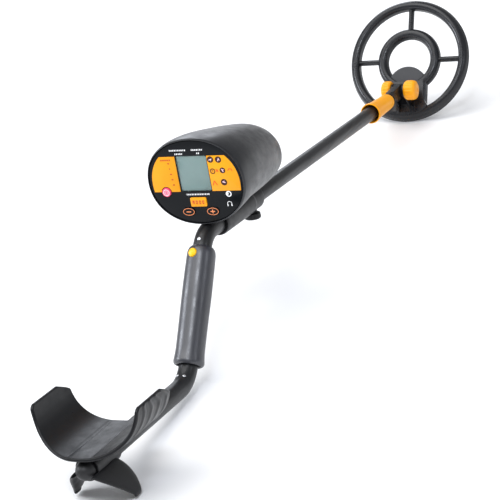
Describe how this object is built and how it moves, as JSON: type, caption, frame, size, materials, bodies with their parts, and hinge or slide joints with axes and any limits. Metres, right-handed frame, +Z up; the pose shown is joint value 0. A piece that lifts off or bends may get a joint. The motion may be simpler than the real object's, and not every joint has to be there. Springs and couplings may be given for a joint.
{
  "type": "metal detector",
  "caption": "Hand-held metal detector: open round search coil on a tilting yoke, telescoping shaft with a twist lock, hooded control box, S-shaped rod with grip, arm cradle and forked stand.",
  "frame": {"origin": "middle of the box that bounds the detector, at floor level", "axes": "+X along the detector towards the coil, +Y to the operator's left, +Z up"},
  "size_m": [1.344, 0.21, 0.2947],
  "materials": {
    "shell_plastic": "satin dark grey moulding",
    "cover_plastic": "fine matt texture",
    "black_plastic": "satin black moulding",
    "coated_tube": "satin black coating on aluminium tube",
    "grip_plastic": "smooth satin",
    "gloss_panel": "high gloss",
    "orange_plastic": "satin orange",
    "yellow_button": "satin amber",
    "power_cap": "satin pink white",
    "display_glass": "grey green liquid crystal cell",
    "clear_window": "clear",
    "soft_rubber": "matt",
    "plated_steel": "bright plated",
    "copper_wire": "enamelled copper wire, bundled",
    "circuit_board": "solder mask",
    "battery_jacket": "printed sleeve"
  },
  "bodies": {
    "handle": {"arm_cradle": "shell_plastic", "battery_cell_1": "battery_jacket", "battery_cell_2": "battery_jacket", "battery_cell_3": "battery_jacket", "battery_cell_4": "battery_jacket", "battery_holder": "black_plastic", "box_hood": "shell_plastic", "box_screw_front": "plated_steel", "box_screw_rear": "plated_steel", "button_membrane": "soft_rubber", "clamp_housing": "black_plastic", "cradle_screw_front": "plated_steel", "cradle_screw_rear": "plated_steel", "display_module": "display_glass", "display_window": "clear_window", "face_panel": "gloss_panel", "grip_switch": "plated_steel", "hand_grip": "grip_plastic", "handle_rod": "coated_tube", "headphone_socket": "plated_steel", "label_left": "orange_plastic", "label_right": "orange_plastic", "main_board": "circuit_board", "neck_screw": "plated_steel", "power_switch": "plated_steel", "rod_end_cap": "soft_rubber", "rod_screw_left": "plated_steel", "rod_screw_right": "plated_steel", "speaker": "plated_steel", "stand": "black_plastic"},
    "shaft": {"shaft_tube": "coated_tube", "shaft_end_plug": "soft_rubber", "lock_collet": "soft_rubber"},
    "lock_sleeve": {"lock_sleeve": "orange_plastic"},
    "stem": {"lower_yoke": "black_plastic", "stem_tube": "coated_tube"},
    "coil": {"coil_top_shell": "shell_plastic", "coil_bottom_cover": "cover_plastic", "transmit_winding": "copper_wire", "receive_winding": "copper_wire", "pivot_bolt": "plated_steel", "friction_washer_left": "soft_rubber", "friction_washer_right": "soft_rubber"},
    "pivot_knob_left": {"pivot_knob_left": "orange_plastic"},
    "pivot_knob_right": {"pivot_knob_right": "orange_plastic"},
    "clamp_knob": {"clamp_knob": "black_plastic", "clamp_screw": "plated_steel"},
    "battery_door": {"battery_door": "shell_plastic"},
    "grip_button": {"grip_button": "yellow_button"},
    "power_button": {"power_button": "power_cap"},
    "mode_button": {"mode_button": "orange_plastic"},
    "minus_button": {"minus_button": "gloss_panel"},
    "plus_button": {"plus_button": "gloss_panel"}
  },
  "joints": [
    {"name": "shaft_slide", "type": "slide", "parent": "handle", "child": "shaft", "axis": [0.9907, 0, -0.1357], "range_m": [0, 0.065]},
    {"name": "sleeve_twist", "type": "hinge", "parent": "shaft", "child": "lock_sleeve", "pos_m": [0.43195, 0, 0.07264], "axis": [0.9907, 0, -0.1357], "range_deg": [0, 120]},
    {"name": "stem_slide", "type": "slide", "parent": "shaft", "child": "stem", "axis": [0.9907, 0, -0.1357], "range_m": [0, 0.095]},
    {"name": "coil_tilt", "type": "hinge", "parent": "stem", "child": "coil", "pos_m": [0.53851, 0, 0.06208], "axis": [0, 1, 0], "range_deg": [-25, 63]},
    {"name": "left_knob_turn", "type": "hinge", "parent": "coil", "child": "pivot_knob_left", "pos_m": [0.53851, 0, 0.06208], "axis": [0, 1, 0], "range_deg": [0, 360]},
    {"name": "right_knob_turn", "type": "hinge", "parent": "coil", "child": "pivot_knob_right", "pos_m": [0.53851, 0, 0.06208], "axis": [0, -1, 0], "range_deg": [0, 360]},
    {"name": "clamp_knob_turn", "type": "hinge", "parent": "handle", "child": "clamp_knob", "pos_m": [-0.09784, 0, 0.12503], "axis": [-0.1357, 0, -0.9907], "range_deg": [0, 540]},
    {"name": "battery_door_hinge", "type": "hinge", "parent": "handle", "child": "battery_door", "pos_m": [-0.15185, 0.0596, 0.20227], "axis": [-0.9856, 0.1018, 0.135], "range_deg": [0, 95]},
    {"name": "grip_button_press", "type": "slide", "parent": "handle", "child": "grip_button", "axis": [0.7309, -0.225, -0.6444], "range_m": [0, 0.0008], "stiffness_N_per_m": 1500, "springref_m": -0.0008},
    {"name": "power_button_press", "type": "slide", "parent": "handle", "child": "power_button", "axis": [0.9993, 0, -0.0365], "range_m": [0, 0.0008], "stiffness_N_per_m": 1500, "springref_m": -0.0006},
    {"name": "mode_button_press", "type": "slide", "parent": "handle", "child": "mode_button", "axis": [0.9993, 0, -0.0365], "range_m": [0, 0.0008], "stiffness_N_per_m": 1500, "springref_m": -0.0006},
    {"name": "minus_button_press", "type": "slide", "parent": "handle", "child": "minus_button", "axis": [0.9993, 0, -0.0365], "range_m": [0, 0.0008], "stiffness_N_per_m": 1500, "springref_m": -0.0006},
    {"name": "plus_button_press", "type": "slide", "parent": "handle", "child": "plus_button", "axis": [0.9993, 0, -0.0365], "range_m": [0, 0.0008], "stiffness_N_per_m": 1500, "springref_m": -0.0006}
  ]
}
